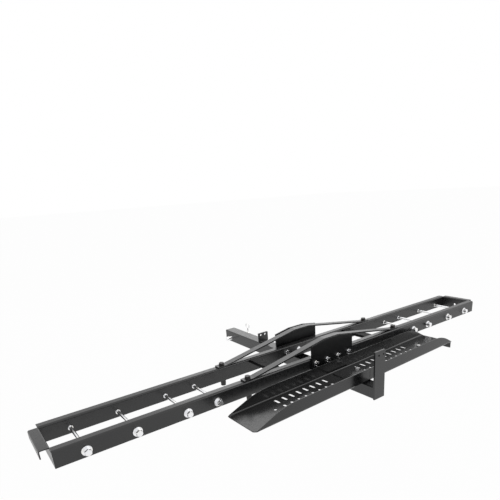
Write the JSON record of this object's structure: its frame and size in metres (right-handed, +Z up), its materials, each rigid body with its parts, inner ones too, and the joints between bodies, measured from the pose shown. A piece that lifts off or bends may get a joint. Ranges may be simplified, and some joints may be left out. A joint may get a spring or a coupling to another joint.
{
  "type": "hitch carrier",
  "caption": "Hitch-mounted wheel-rail carrier with bolted angle rails, arched straps, a square shank and a stored loading ramp",
  "frame": {"origin": "hitch pin axis on the hitch tube's centre line", "axes": "+X along the rails to the right as seen from behind the vehicle, +Y towards the towing vehicle along the hitch tube, +Z up"},
  "size_m": [1.981, 0.9346, 0.1742],
  "materials": {
    "black_powder_coat": "satin black powder coat",
    "ramp_powder_coat": "satin black powder coat on sheet",
    "black_oxide_bolt": "black oxide",
    "zinc_plated_steel": "bright zinc plate",
    "bright_zinc_pin": "bright plated",
    "spring_wire": "plated spring wire"
  },
  "bodies": {
    "carrier": {"rail_near_left": "black_powder_coat", "rail_near_right": "black_powder_coat", "rail_far_left": "black_powder_coat", "rail_far_right": "black_powder_coat", "end_bracket_left": "black_powder_coat", "end_bracket_right": "black_powder_coat", "centre_cross_bars": "black_powder_coat", "strap_near": "black_powder_coat", "strap_far": "black_powder_coat", "centre_plate_near": "black_powder_coat", "centre_plate_far": "black_powder_coat", "hitch_tube": "black_powder_coat", "front_bar": "black_powder_coat", "ramp_post": "black_powder_coat", "rear_upright": "black_powder_coat", "strap_standoffs": "black_powder_coat", "far_plate_spacers": "black_powder_coat", "strap_bolts": "black_oxide_bolt", "strap_bolt_washers": "black_oxide_bolt", "strap_bolt_nuts": "black_oxide_bolt", "cross_bolts": "zinc_plated_steel", "cross_bolt_washers": "zinc_plated_steel", "cross_bolt_inner_nuts": "zinc_plated_steel", "cross_bolt_outer_nuts": "zinc_plated_steel", "near_plate_bolts": "zinc_plated_steel", "near_plate_washers": "zinc_plated_steel", "near_plate_nuts": "zinc_plated_steel", "far_plate_bolts": "zinc_plated_steel", "far_plate_washers": "zinc_plated_steel", "far_plate_nuts": "zinc_plated_steel"},
    "ramp": {"ramp_left_half": "ramp_powder_coat", "ramp_right_half": "ramp_powder_coat", "ramp_splice_plate": "ramp_powder_coat", "ramp_hook_plate": "ramp_powder_coat", "ramp_splice_bolts": "zinc_plated_steel", "ramp_splice_nuts": "zinc_plated_steel", "ramp_hook_bolt": "zinc_plated_steel", "ramp_hook_nut": "zinc_plated_steel"},
    "pin": {"hitch_pin": "bright_zinc_pin"},
    "clip": {"hitch_clip": "spring_wire"}
  },
  "joints": [
    {"name": "ramp_lift", "type": "slide", "parent": "carrier", "child": "ramp", "axis": [0, 0, 1], "range_m": [0, 0.16]},
    {"name": "pin_swivel", "type": "hinge", "parent": "carrier", "child": "pin", "pos_m": [0, 0, 0], "axis": [1, 0, 0], "continuous": true},
    {"name": "clip_pull", "type": "slide", "parent": "pin", "child": "clip", "axis": [0, 0, 1], "range_m": [0, 0.03]}
  ]
}
